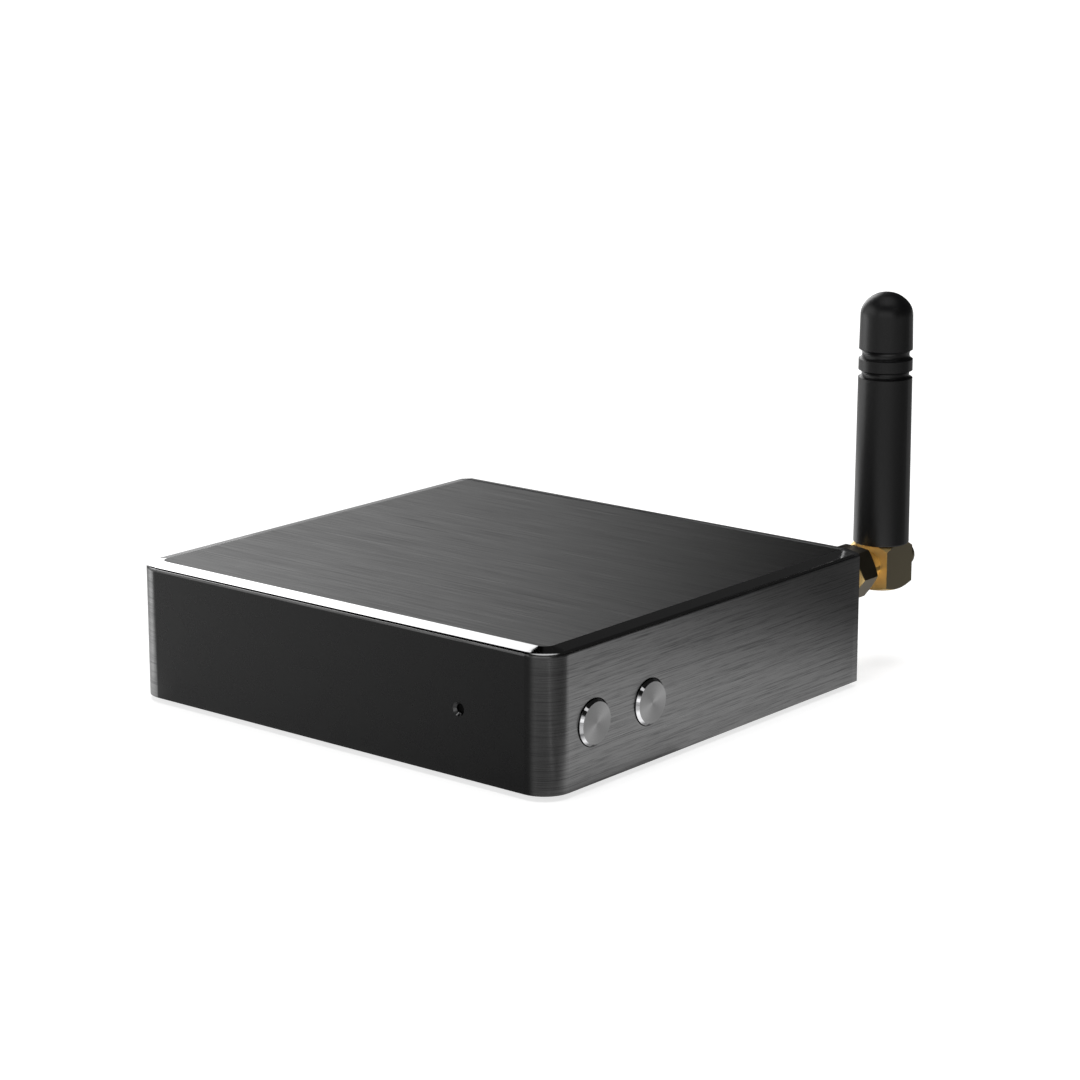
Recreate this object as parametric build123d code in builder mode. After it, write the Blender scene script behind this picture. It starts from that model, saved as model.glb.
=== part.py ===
"""Network music streamer: a flat bevelled aluminium housing with two side buttons and a swivelling aerial.

All sizes are millimetres. X runs to the right seen from the front, Y runs to the back, Z runs up.
The origin is the middle of the whole object's footprint, on the surface that the feet stand on.
"""

import os
from math import sqrt

from build123d import *

# Clearances and overruns
overrun = 1.0
slip_fit = 0.05
loose_fit = 0.15
cutout_gap = 0.25

# Housing
housing_width = 100.0
housing_depth = 92.6
housing_height = 25.6
wall = 1.6
top_thickness = 2.0
front_corner_radius = 5.4
bevel_inset = 3.3
bevel_drop = 0.6
edge_round = 0.7
rear_panel_thickness = 1.6

# Screw posts and bosses of the housing
post_radius = 2.5
post_side_inset = 3.9
post_front_inset = 2.6
post_rear_inset = 20.0
boss_size = 5.5
boss_depth = 7.0
boss_floor_gap = 0.2

# Screws
screw_radius = 0.95
screw_head_radius = 1.9
screw_head_height = 1.2
base_screw_length = 9.0
rear_screw_length = 7.0
screw_countersink = 90.0
drive_radius = 0.8
drive_depth = 0.7

# Base plate and feet
base_thickness = 1.6
foot_radius = 5.0
foot_proud = 1.0
foot_recess = 0.7
foot_edge_round = 0.5
foot_side_inset = 14.0
foot_end_inset = 13.0
standoff_radius = 2.6
standoff_height = 2.4
vent_length = 26.0
vent_width = 1.6
vent_pitch = 4.2
vent_count = 9

# Front sensing hole and its light pipe
pipe_hole_radius = 0.83
pipe_hole_mouth_radius = 1.28
pipe_hole_side_inset = 20.1
pipe_hole_height = 12.3
pipe_recess = 0.9
pipe_section = 2.6
pipe_collar_gap = 0.1
led_length = 1.6
led_width = 1.2
led_height = 0.7

# Side buttons
button_radius = 4.22
button_gap = 0.14
button_proud = 0.7
button_rim = 0.45
button_flange_radius = 5.1
button_flange_thickness = 0.9
button_stem_radius = 1.5
button_stem_length = 0.6
button_travel = 0.5
button_height = 11.0
button_front_inset = 12.15
button_pitch = 15.6

# Side switches
switch_depth = 3.5
switch_width = 6.0
switch_head_room = 2.6
plunger_radius = 1.6
plunger_length = 2.3
plunger_reach = 1.5

# Main board
board_thickness = 1.6
board_side_gap = 3.0
board_front_gap = 7.0
board_rear_gap = 0.4
board_notch_side_gap = 0.8
board_hole_radius = 1.2
standoff_side_inset = 8.0
standoff_front_inset = 22.0
standoff_rear_inset = 28.0

# Network socket
network_width = 16.0
network_height = 13.5
network_depth = 21.0
network_mouth_width = 11.8
network_mouth_height = 7.0
network_mouth_depth = 14.0
network_mouth_rise = 3.6
network_key_width = 6.2
network_key_height = 1.9
contact_count = 8
contact_pitch = 1.02
contact_width = 0.45
contact_thickness = 0.35
contact_drop = 2.0
contact_setback = 3.0
contact_run = 9.0

# Host socket for a memory stick
host_width = 13.1
host_height = 5.8
host_depth = 14.0
host_wall = 0.4
host_corner = 0.6
host_tongue_width = 11.1
host_tongue_height = 1.8
host_tongue_depth = 9.0
host_tongue_top_gap = 0.55

# Power socket
power_width = 8.0
power_height = 3.0
power_depth = 6.0
power_wall = 0.35
power_corner = 0.9
power_tongue_width = 4.0
power_tongue_height = 0.6

# Digital output socket
digital_barrel_radius = 4.15
digital_barrel_wall = 0.5
digital_barrel_length = 9.0
digital_shoulder_radius = 4.6
digital_body_width = 10.0
digital_body_height = 11.0
digital_body_depth = 9.0
digital_core_radius = 2.4
digital_core_recess = 1.6
digital_pin_radius = 1.6
digital_pin_depth = 13.5

# Line sockets
line_body_width = 7.0
line_body_height = 6.2
line_body_depth = 12.5
line_collar_radius = 3.0
line_bore_radius = 1.8
line_bore_depth = 13.0

# Aerial jack on the rear panel
aerial_side_inset = 6.0
aerial_top_inset = 6.2
jack_radius = 3.15
jack_hole_gap = 0.1
jack_flange_radius = 4.0
jack_flange_thickness = 1.5
jack_reach = 5.0
jack_tail_radius = 2.0
jack_tail_length = 4.0
jack_core_radius = 2.05
jack_socket_radius = 0.55
jack_socket_depth = 4.0
washer_radius = 4.3
washer_thickness = 0.5
jack_nut_flats = 8.0
jack_nut_height = 1.8

# Coupling nut and elbow
nut_gap = 0.2
coupling_flats = 9.2
coupling_length = 5.5
coupling_lip = 1.3
coupling_chamfer = 0.55
coupling_turn = 4.5
nose_radius = 2.6
nose_gap = 0.05
ring_radius = 3.05
ring_groove = 0.4
ring_thickness = 0.6
ring_mouth = 1.6
neck_radius = 2.9
neck_length = 3.7
neck_gap = 0.1
block_side = 8.8
block_drop = 4.9
block_rise = 4.0
block_turned_radius = 4.0
block_turned_slope = 0.42
block_shoulder_radius = 4.9
block_shoulder_slope = 0.65
spigot_radius = 2.5
spigot_height = 8.0
core_radius = 1.7
pin_radius = 0.46
pin_reach = 2.6
cap_radius = 2.5
cap_proud = 4.6
cap_round = 1.0
cap_plug_depth = 1.5

# Aerial
sleeve_length = 48.85
sleeve_foot_radius = 5.38
sleeve_neck_radius = 5.17
sleeve_tip_radius = 5.04
sleeve_foot_round = 0.3
dome_height = 4.6
groove_depth = 0.66
upper_groove_tip_gap = 11.85
upper_groove_width = 1.9
lower_groove_width = 1.5
groove_pitch = 3.8
radiator_radius = 0.6
radiator_length = 36.0
radiator_gap = 0.3

# Radio module and its lead
module_screw_gap = 1.0
module_width = 30.0
module_depth = 22.0
module_thickness = 1.0
can_width = 20.0
can_depth = 16.0
can_height = 2.2
can_wall = 0.3
can_x_offset = -3.6
plug_radius = 1.3
plug_height = 1.4
plug_x_offset = 10.8
lead_radius = 0.6
lead_bend = 4.2

# Parts soldered to the main board
processor_size = 14.0
processor_height = 1.3
processor_gap = 3.5
converter_size = 10.0
converter_height = 1.2
memory_width = 18.0
memory_depth = 8.0
memory_height = 1.1
transformer_width = 16.0
transformer_depth = 7.5
transformer_height = 5.6
transformer_gap = 3.0
coil_size = 6.6
coil_height = 3.2
coil_side_inset = 8.4
coil_rear_inset = 34.0
coil_pitch = 10.0
coil_corner = 1.2
can_cap_radius = 3.15
can_cap_height = 7.4
can_cap_round = 0.5
can_cap_screw_gap = 7.4
can_cap_pitch = 9.0
can_cap_count = 3
crystal_width = 11.0
crystal_depth = 4.6
crystal_height = 3.4

# Heights worked out from the sizes above
body_bottom = foot_proud
body_top = body_bottom + housing_height
ceiling = body_top - top_thickness
base_top = body_bottom + base_thickness
board_bottom = base_top + standoff_height
board_top = board_bottom + board_thickness
board_screw_length = board_thickness + standoff_height
aerial_z = body_top - aerial_top_inset
button_z = body_bottom + button_height
pipe_z = body_bottom + pipe_hole_height

# Distances along Y worked out from the sizes above
jack_stack = washer_thickness + jack_nut_height + nut_gap
neck_offset = jack_stack + coupling_length + neck_gap
aerial_reach = neck_offset + neck_length + block_side / 2
overall_depth = housing_depth + aerial_reach + block_side / 2 + cap_proud
front_y = -overall_depth / 2
rear_y = front_y + housing_depth
panel_y = rear_y - rear_panel_thickness
front_inner_y = front_y + wall
aerial_y = rear_y + aerial_reach
side_x = housing_width / 2
side_inner_x = side_x - wall
aerial_x = side_x - aerial_side_inset
pipe_hole_x = side_x - pipe_hole_side_inset
board_front_y = front_inner_y + board_front_gap
board_rear_y = panel_y - board_rear_gap
board_side_x = side_inner_x - board_side_gap

# Places of the posts, bosses, feet, standoffs and buttons
post_x = side_inner_x - post_side_inset
post_places = [
    (x, y)
    for x in (-post_x, post_x)
    for y in (front_inner_y + post_front_inset, panel_y - post_rear_inset)
]
boss_x = side_inner_x - boss_size / 2
boss_z = base_top + boss_floor_gap + boss_size / 2
boss_places = [(-boss_x, boss_z), (boss_x, boss_z)]
foot_places = [
    (x, y)
    for x in (foot_side_inset - side_x, side_x - foot_side_inset)
    for y in (front_y + foot_end_inset, rear_y - foot_end_inset)
]
standoff_x = board_side_x - standoff_side_inset
standoff_places = [
    (x, y)
    for x in (-standoff_x, standoff_x)
    for y in (front_y + standoff_front_inset, rear_y - standoff_rear_inset)
]
button_places = {
    "power": front_y + button_front_inset,
    "pairing": front_y + button_front_inset + button_pitch,
}


def spread(start, end, sizes):
    """Middles of pieces of given sizes that stand in a row with equal gaps between two limits."""
    gap = (end - start - sum(sizes)) / (len(sizes) + 1)
    return [start + gap * (n + 1) + sum(sizes[:n]) + size / 2 for n, size in enumerate(sizes)]


# Places of the sockets along the rear panel, between the two bosses
socket_limit = boss_x - boss_size / 2
socket_widths = [
    power_width,
    network_width,
    host_width,
    digital_body_width,
    line_body_width,
    line_body_width,
]
power_x, network_x, host_x, digital_x, *line_places = spread(-socket_limit, socket_limit, socket_widths)

# Places of the soldered parts, in two columns between the sockets and the light pipe
socket_end_y = rear_y - network_depth
led_y = board_front_y + led_width
pipe_back_y = led_y + pipe_section / 2
module_x = standoff_x - screw_head_radius - module_screw_gap - module_width / 2
processor_x = module_x - module_width / 2 - processor_gap - processor_size / 2
transformer_y = socket_end_y - transformer_gap - transformer_depth / 2
can_cap_y, converter_y, module_y = spread(
    pipe_back_y, socket_end_y, [2 * can_cap_radius, converter_size, module_depth]
)
crystal_y, memory_y, processor_y = spread(
    pipe_back_y, transformer_y - transformer_depth / 2, [crystal_depth, memory_depth, processor_size]
)
coil_x = coil_side_inset - board_side_x
can_cap_x = standoff_x - can_cap_screw_gap

os.makedirs("parts", exist_ok=True)


def save(piece, label):
    """Labels a finished piece and writes it."""
    piece.label = label
    export_step(piece, f"parts/{label}.step")


def facing_front(y):
    """Plane at a distance along Y whose outward side looks to the front."""
    return Plane.XZ.offset(-y)


def facing_right(x):
    """Plane at a distance along X whose outward side looks to the right."""
    return Plane.YZ.offset(x)


def chip(width, depth, height, x, y):
    """Flat block that stands on the main board."""
    with BuildPart() as body:
        with BuildSketch(Plane.XY.offset(board_top)):
            with Locations((x, y)):
                Rectangle(width, depth)
        extrude(amount=height)
    return body.part


def outline_sketch(inset, back_y):
    """Housing outline seen from above, drawn in by an inset, with round front corners."""
    with BuildSketch() as outline:
        with Locations((0, (front_y + inset + back_y) / 2)):
            Rectangle(housing_width - 2 * inset, back_y - front_y - inset)
        fillet(outline.vertices().group_by(Axis.Y)[0], front_corner_radius - inset)
    return outline.sketch


full_outline = outline_sketch(0, rear_y)
cavity_outline = outline_sketch(wall, panel_y + overrun)
base_outline = outline_sketch(wall + loose_fit, panel_y - loose_fit)

# Outer form: a block with round front corners, a flat bevel round three top edges and a soft outer edge.
# The housing and the rear panel are both cut from it, so that their edges run on into each other.
with BuildPart() as outer_form:
    with BuildSketch(Plane.XY.offset(body_bottom)):
        add(full_outline)
    extrude(amount=housing_height)
    top_face = outer_form.faces().sort_by(Axis.Z)[-1]
    rim = top_face.edges().sort_by(Axis.Y)[:-1]
    chamfer(rim, length=bevel_inset, length2=bevel_drop, reference=top_face)
    bevel_foot = outer_form.edges().group_by(Axis.Z)[-3].filter_by(
        lambda edge: edge.center().Z > body_top - 2 * bevel_drop and edge.center().Y < rear_y - overrun
    )
    fillet(bevel_foot, edge_round)

# Housing: top, front and two sides in one piece, open below and behind
with BuildPart() as housing_shell:
    add(outer_form.part)
    split(bisect_by=facing_front(panel_y), keep=Keep.TOP)
    with BuildSketch(Plane.XY.offset(body_bottom)):
        add(cavity_outline)
    extrude(amount=housing_height - top_thickness, mode=Mode.SUBTRACT)
    with BuildSketch(Plane.XY.offset(base_top)):
        with Locations(*post_places):
            Circle(post_radius)
    extrude(amount=ceiling - base_top)
    with BuildSketch(Plane.XY.offset(base_top)):
        with Locations(*post_places):
            Circle(screw_radius + slip_fit)
    extrude(amount=base_screw_length, mode=Mode.SUBTRACT)
    with BuildSketch(facing_front(panel_y)):
        with Locations(*boss_places):
            Rectangle(boss_size, boss_size)
    extrude(amount=boss_depth)
    with BuildSketch(facing_front(panel_y)):
        with Locations(*boss_places):
            Circle(screw_radius + slip_fit)
    extrude(amount=rear_screw_length, mode=Mode.SUBTRACT)
    with BuildSketch(facing_right(side_inner_x - overrun)):
        with Locations(*[(y, button_z) for y in button_places.values()]):
            Circle(button_radius + button_gap)
    extrude(amount=wall + 2 * overrun, mode=Mode.SUBTRACT)
    with Locations(Location((pipe_hole_x, front_y, pipe_z), (90, 0, 0))):
        CounterSinkHole(pipe_hole_radius, pipe_hole_mouth_radius, depth=wall + overrun)
save(housing_shell.part, "housing_shell")

# Rear panel: a plate with the housing's outline and a cut-out for every socket
line_z = board_top + line_body_height / 2
digital_z = board_top + digital_body_height / 2
with BuildPart() as rear_panel:
    add(outer_form.part)
    split(bisect_by=facing_front(panel_y), keep=Keep.BOTTOM)
    with BuildSketch(facing_front(rear_y)):
        with Locations((network_x, board_top + network_height / 2)):
            Rectangle(network_width + 2 * cutout_gap, network_height + 2 * cutout_gap)
        with Locations((host_x, board_top + host_height / 2)):
            Rectangle(host_width + 2 * cutout_gap, host_height + 2 * cutout_gap)
        with Locations((power_x, board_top + power_height / 2)):
            Rectangle(power_width + 2 * cutout_gap, power_height + 2 * cutout_gap)
        with Locations((digital_x, digital_z)):
            Circle(digital_shoulder_radius + cutout_gap)
        with Locations(*[(x, line_z) for x in line_places]):
            Circle(line_collar_radius + cutout_gap)
        with Locations((aerial_x, aerial_z)):
            Circle(jack_radius + jack_hole_gap)
        with Locations(*boss_places):
            Circle(screw_radius + loose_fit)
    extrude(amount=rear_panel_thickness, mode=Mode.SUBTRACT)
    with Locations(*[Location((x, rear_y, z), (-90, 0, 0)) for x, z in boss_places]):
        CounterBoreHole(screw_radius + loose_fit, screw_head_radius + loose_fit, rear_panel_thickness / 2)
save(rear_panel.part, "rear_panel")

# Base plate: drops in between the walls against the posts, and carries the main board
with BuildPart() as base_plate:
    with BuildSketch(Plane.XY.offset(body_bottom)):
        add(base_outline)
    extrude(amount=base_thickness)
    with BuildSketch(Plane.XY.offset(base_top)):
        with Locations(*standoff_places):
            Circle(standoff_radius)
    extrude(amount=standoff_height)
    with BuildSketch(Plane.XY.offset(board_bottom)):
        with Locations(*standoff_places):
            Circle(screw_radius + slip_fit)
    extrude(amount=board_thickness - board_screw_length, mode=Mode.SUBTRACT)
    with BuildSketch(Plane.XY.offset(body_bottom)):
        with Locations(*foot_places):
            Circle(foot_radius + slip_fit)
    extrude(amount=foot_recess, mode=Mode.SUBTRACT)
    with BuildSketch(Plane.XY.offset(body_bottom)):
        with Locations((0, (front_y + rear_y) / 2)):
            with GridLocations(0, vent_pitch, 1, vent_count):
                SlotOverall(vent_length, vent_width)
    extrude(amount=base_thickness, mode=Mode.SUBTRACT)
    with Locations(*[Location((x, y, body_bottom), (180, 0, 0)) for x, y in post_places]):
        CounterSinkHole(screw_radius + loose_fit, screw_head_radius, base_thickness, screw_countersink)
save(base_plate.part, "base_plate")


def foot(place):
    """Round rubber foot that sits in a shallow recess of the base plate."""
    with BuildPart() as body:
        with BuildSketch(Plane.XY):
            with Locations(place):
                Circle(foot_radius)
        extrude(amount=foot_proud + foot_recess)
        fillet(body.edges().sort_by(Axis.Z)[0], foot_edge_round)
    return body.part


save(Compound(children=[foot(place) for place in foot_places]), "rubber_feet")


def flat_screw(length):
    """Countersunk screw, head flush at its own origin, that points up."""
    with BuildPart() as body:
        with BuildSketch(Plane.XZ):
            with BuildLine():
                Polyline(
                    (0, 0),
                    (screw_head_radius, 0),
                    (screw_radius, screw_head_radius - screw_radius),
                    (screw_radius, length),
                    (0, length),
                    close=True,
                )
            make_face()
        revolve(axis=Axis.Z)
        with BuildSketch(Plane.XY):
            RegularPolygon(drive_radius, 6)
        extrude(amount=drive_depth, mode=Mode.SUBTRACT)
    return body.part


def pan_screw(length):
    """Pan head screw whose head rests at its own origin and whose shank points down."""
    with BuildPart() as body:
        with BuildSketch(Plane.XY):
            Circle(screw_head_radius)
        extrude(amount=screw_head_height)
        fillet(body.edges().sort_by(Axis.Z)[-1], screw_head_height / 3)
        with BuildSketch(Plane.XY):
            Circle(screw_radius)
        extrude(amount=-length)
        with BuildSketch(Plane.XY.offset(screw_head_height)):
            RegularPolygon(drive_radius, 6)
        extrude(amount=-drive_depth, mode=Mode.SUBTRACT)
    return body.part


base_screw = flat_screw(base_screw_length)
save(Compound(children=[Pos(x, y, body_bottom) * base_screw for x, y in post_places]), "base_screws")

rear_head_y = rear_y - rear_panel_thickness / 2
rear_screw = pan_screw(rear_screw_length)
rear_screw_set = [Pos(x, rear_head_y, z) * Rot(-90, 0, 0) * rear_screw for x, z in boss_places]
save(Compound(children=rear_screw_set), "rear_screws")

board_screw = pan_screw(board_screw_length - slip_fit)
save(Compound(children=[Pos(x, y, board_top) * board_screw for x, y in standoff_places]), "board_screws")

# Main board: a plate with its two rear corners cut away for the posts and bosses
notch_width = board_side_x - post_x + post_radius + board_notch_side_gap
notch_depth = board_rear_y - (panel_y - post_rear_inset) + post_radius + board_notch_side_gap
with BuildPart() as main_board:
    with BuildSketch(Plane.XY.offset(board_bottom)):
        with Locations((0, (board_front_y + board_rear_y) / 2)):
            Rectangle(2 * board_side_x, board_rear_y - board_front_y)
        for side in (-1, 1):
            with Locations((side * (board_side_x - notch_width / 2), board_rear_y - notch_depth / 2)):
                Rectangle(notch_width, notch_depth, mode=Mode.SUBTRACT)
        with Locations(*standoff_places):
            Circle(board_hole_radius, mode=Mode.SUBTRACT)
    extrude(amount=board_thickness)
save(main_board.part, "main_board")

# Network socket: a box with a keyed mouth, and eight sloping spring contacts inside it
network_mouth_bottom = board_top + network_mouth_rise
network_mouth_top = network_mouth_bottom + network_mouth_height
with BuildPart() as network_socket:
    with BuildSketch(facing_front(rear_y)):
        with Locations((network_x, board_top + network_height / 2)):
            Rectangle(network_width, network_height)
    extrude(amount=network_depth)
    with BuildSketch(facing_front(rear_y)):
        with Locations((network_x, (network_mouth_bottom + network_mouth_top) / 2)):
            Rectangle(network_mouth_width, network_mouth_height)
        with Locations((network_x, network_mouth_bottom - network_key_height / 2)):
            Rectangle(network_key_width, network_key_height)
    extrude(amount=network_mouth_depth, mode=Mode.SUBTRACT)
save(network_socket.part, "network_socket")


def network_contact(x):
    """Flat wire that slopes down from the roof of the network socket's mouth."""
    start_y = rear_y - contact_setback
    roof = network_mouth_top
    with BuildPart() as body:
        with BuildSketch(facing_right(x - contact_width / 2)):
            with BuildLine():
                Polyline(
                    (start_y, roof),
                    (start_y - contact_thickness, roof),
                    (start_y - contact_run, roof - contact_drop + contact_thickness),
                    (start_y - contact_run, roof - contact_drop),
                    close=True,
                )
            make_face()
        extrude(amount=contact_width)
    return body.part


contact_xs = [network_x + (n - (contact_count - 1) / 2) * contact_pitch for n in range(contact_count)]
save(Compound(children=[network_contact(x) for x in contact_xs]), "network_contacts")


def shell_socket(x, width, height, depth, skin, corner):
    """Folded metal socket shell, open to the rear and closed at its inner end."""
    with BuildPart() as body:
        with BuildSketch(facing_front(rear_y)):
            with Locations((x, board_top + height / 2)):
                RectangleRounded(width, height, corner)
        extrude(amount=depth)
        with BuildSketch(facing_front(rear_y)):
            with Locations((x, board_top + height / 2)):
                RectangleRounded(width - 2 * skin, height - 2 * skin, corner - skin)
        extrude(amount=depth - skin, mode=Mode.SUBTRACT)
    return body.part


host_shell = shell_socket(host_x, host_width, host_height, host_depth, host_wall, host_corner)
save(host_shell, "host_socket")
power_shell = shell_socket(power_x, power_width, power_height, power_depth, power_wall, power_corner)
save(power_shell, "power_socket")

# Tongues that carry the contacts of the host and power sockets
host_tongue_z = board_top + host_height - host_wall - host_tongue_top_gap - host_tongue_height / 2
with BuildPart() as host_tongue:
    with BuildSketch(facing_front(rear_y - host_depth + host_wall)):
        with Locations((host_x, host_tongue_z)):
            Rectangle(host_tongue_width, host_tongue_height)
    extrude(amount=-host_tongue_depth)
save(host_tongue.part, "host_tongue")

power_tongue_depth = (power_depth - power_wall) * 2 / 3
with BuildPart() as power_tongue:
    with BuildSketch(facing_front(rear_y - power_depth + power_wall)):
        with Locations((power_x, board_top + power_height / 2)):
            Rectangle(power_tongue_width, power_tongue_height)
    extrude(amount=-power_tongue_depth)
save(power_tongue.part, "power_tongue")

# Digital output: a moulded body on the board, a metal barrel through the panel and its centre contact
digital_core_y = rear_y + digital_barrel_length - digital_core_recess
with BuildPart() as digital_body:
    with BuildSketch(facing_front(panel_y)):
        with Locations((digital_x, digital_z)):
            Rectangle(digital_body_width, digital_body_height)
    extrude(amount=digital_body_depth)
    with BuildSketch(facing_front(panel_y)):
        with Locations((digital_x, digital_z)):
            Circle(digital_core_radius)
    extrude(amount=panel_y - digital_core_y)
    with BuildSketch(facing_front(digital_core_y)):
        with Locations((digital_x, digital_z)):
            Circle(digital_pin_radius)
    extrude(amount=digital_pin_depth, mode=Mode.SUBTRACT)
save(digital_body.part, "digital_socket_body")

with BuildPart() as digital_barrel:
    with BuildSketch(facing_front(panel_y)):
        with Locations((digital_x, digital_z)):
            Circle(digital_shoulder_radius)
    extrude(amount=-rear_panel_thickness)
    with BuildSketch(facing_front(rear_y)):
        with Locations((digital_x, digital_z)):
            Circle(digital_barrel_radius)
    extrude(amount=-digital_barrel_length)
    with BuildSketch(facing_front(rear_y + digital_barrel_length)):
        with Locations((digital_x, digital_z)):
            Circle(digital_barrel_radius - digital_barrel_wall)
    extrude(amount=digital_barrel_length + rear_panel_thickness, mode=Mode.SUBTRACT)
save(digital_barrel.part, "digital_socket_barrel")


def line_jack(x):
    """Round-plug socket: a moulded block on the board with a collar that fills its panel hole."""
    with BuildPart() as body:
        with BuildSketch(facing_front(panel_y)):
            with Locations((x, line_z)):
                Rectangle(line_body_width, line_body_height)
        extrude(amount=line_body_depth)
        with BuildSketch(facing_front(panel_y)):
            with Locations((x, line_z)):
                Circle(line_collar_radius)
        extrude(amount=-rear_panel_thickness)
        with BuildSketch(facing_front(rear_y)):
            with Locations((x, line_z)):
                Circle(line_bore_radius)
        extrude(amount=line_bore_depth, mode=Mode.SUBTRACT)
    return body.part


for label, x in zip(("line_in_jack", "line_out_jack"), line_places):
    save(line_jack(x), label)


def along_connector(y):
    """Plane across the aerial connector's axis, centred on it, whose outward side looks to the rear."""
    return Plane(origin=(aerial_x, y, aerial_z), x_dir=(-1, 0, 0), z_dir=(0, 1, 0))


def hexagon_radius(flats):
    """Corner radius of a hexagon from its width across the flats."""
    return flats / sqrt(3)


# Aerial jack: flange inside the panel, threaded barrel through it, tail for the lead
with BuildPart() as aerial_jack:
    with BuildSketch(along_connector(panel_y)):
        Circle(jack_flange_radius)
    extrude(amount=-jack_flange_thickness)
    with BuildSketch(along_connector(panel_y)):
        Circle(jack_radius)
    extrude(amount=rear_panel_thickness + jack_reach)
    with BuildSketch(along_connector(panel_y - jack_flange_thickness)):
        Circle(jack_tail_radius)
    extrude(amount=-jack_tail_length)
    with BuildSketch(along_connector(rear_y + jack_reach)):
        Circle(jack_core_radius + slip_fit)
    extrude(amount=-(jack_reach + rear_panel_thickness), mode=Mode.SUBTRACT)
save(aerial_jack.part, "aerial_jack")

with BuildPart() as jack_core:
    with BuildSketch(along_connector(rear_y + jack_reach - nose_gap)):
        Circle(jack_core_radius)
    extrude(amount=nose_gap - jack_reach - rear_panel_thickness)
    with BuildSketch(along_connector(rear_y + jack_reach)):
        Circle(jack_socket_radius)
    extrude(amount=-jack_socket_depth, mode=Mode.SUBTRACT)
save(jack_core.part, "jack_core")

with BuildPart() as jack_washer:
    with BuildSketch(along_connector(rear_y)):
        Circle(washer_radius)
        Circle(jack_radius + slip_fit, mode=Mode.SUBTRACT)
    extrude(amount=washer_thickness)
save(jack_washer.part, "jack_washer")

with BuildPart() as jack_nut:
    with BuildSketch(along_connector(rear_y + washer_thickness)):
        RegularPolygon(hexagon_radius(jack_nut_flats), 6)
        Circle(jack_radius + slip_fit, mode=Mode.SUBTRACT)
    extrude(amount=jack_nut_height)
save(jack_nut.part, "jack_nut")


def turned_blank(start_y, length, corner_radius, relief):
    """Turned bar along the connector's axis with both rims chamfered, which trims a hexagon's corners."""
    with BuildPart() as body:
        with BuildSketch(along_connector(start_y)):
            Circle(corner_radius)
        extrude(amount=length)
        chamfer(body.edges().filter_by(GeomType.CIRCLE), length=relief, length2=relief * 2)
    return body.part


# Coupling nut: a hexagon with turned corners, a bore that runs on the jack and a lip round the nose
coupling_y = rear_y + jack_stack
coupling_corner = hexagon_radius(coupling_flats)
with BuildPart() as coupling_nut:
    with BuildSketch(along_connector(coupling_y)):
        RegularPolygon(coupling_corner, 6, rotation=coupling_turn)
    extrude(amount=coupling_length)
    add(turned_blank(coupling_y, coupling_length, coupling_corner, coupling_chamfer), mode=Mode.INTERSECT)
    with BuildSketch(along_connector(coupling_y)):
        Circle(jack_radius + slip_fit)
    extrude(amount=coupling_length - coupling_lip, mode=Mode.SUBTRACT)
    with BuildSketch(along_connector(coupling_y)):
        Circle(nose_radius + slip_fit)
    extrude(amount=coupling_length, mode=Mode.SUBTRACT)
save(coupling_nut.part, "coupling_nut")

# Elbow: nose and neck on the connector's axis, then a square block with turned ends and a spigot on top
nose_y = rear_y + jack_reach + nose_gap
neck_y = rear_y + neck_offset
block_y = neck_y + neck_length
lip_y = coupling_y + coupling_length - coupling_lip
ring_y = lip_y - slip_fit - ring_thickness
block_bottom = aerial_z - block_drop
block_top = aerial_z + block_rise
with BuildPart() as elbow_blank:
    with BuildSketch(Plane.XZ):
        with BuildLine():
            Polyline(
                (0, block_bottom),
                (block_turned_radius, block_bottom),
                (block_side, block_bottom + (block_side - block_turned_radius) * block_turned_slope),
                (block_side, block_top - (block_side - block_shoulder_radius) * block_shoulder_slope),
                (block_shoulder_radius, block_top),
                (0, block_top),
                close=True,
            )
        make_face()
    revolve(axis=Axis.Z)

with BuildPart() as aerial_elbow:
    with BuildSketch(Plane.XY.offset(block_bottom)):
        with Locations((aerial_x, aerial_y)):
            Rectangle(block_side, block_side)
    extrude(amount=block_drop + block_rise)
    add(Pos(aerial_x, aerial_y, 0) * elbow_blank.part, mode=Mode.INTERSECT)
    with BuildSketch(along_connector(neck_y)):
        Circle(neck_radius)
    extrude(amount=neck_length)
    with BuildSketch(along_connector(nose_y)):
        Circle(nose_radius)
    extrude(amount=neck_y - nose_y)
    with BuildSketch(along_connector(ring_y)):
        Circle(nose_radius)
        Circle(nose_radius - ring_groove, mode=Mode.SUBTRACT)
    extrude(amount=ring_thickness + slip_fit, mode=Mode.SUBTRACT)
    with BuildSketch(Plane.XY.offset(block_top)):
        with Locations((aerial_x, aerial_y)):
            Circle(spigot_radius)
    extrude(amount=spigot_height)
    with BuildSketch(along_connector(nose_y)):
        Circle(core_radius)
    extrude(amount=aerial_y - nose_y + core_radius, mode=Mode.SUBTRACT)
    with BuildSketch(Plane.XY.offset(aerial_z)):
        with Locations((aerial_x, aerial_y)):
            Circle(radiator_radius + radiator_gap)
    extrude(amount=block_rise + spigot_height, mode=Mode.SUBTRACT)
    with BuildSketch(along_connector(aerial_y + block_side / 2)):
        Circle(core_radius + slip_fit)
    extrude(amount=-cap_plug_depth, mode=Mode.SUBTRACT)
save(aerial_elbow.part, "aerial_elbow")

with BuildPart() as retaining_ring:
    with BuildSketch(along_connector(ring_y)) as ring_sketch:
        Circle(ring_radius)
        Circle(nose_radius - ring_groove + slip_fit, mode=Mode.SUBTRACT)
        with Locations((0, ring_radius)):
            Rectangle(ring_mouth, 2 * ring_groove + ring_radius, mode=Mode.SUBTRACT)
    extrude(amount=ring_thickness)
save(retaining_ring.part, "retaining_ring")

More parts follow.
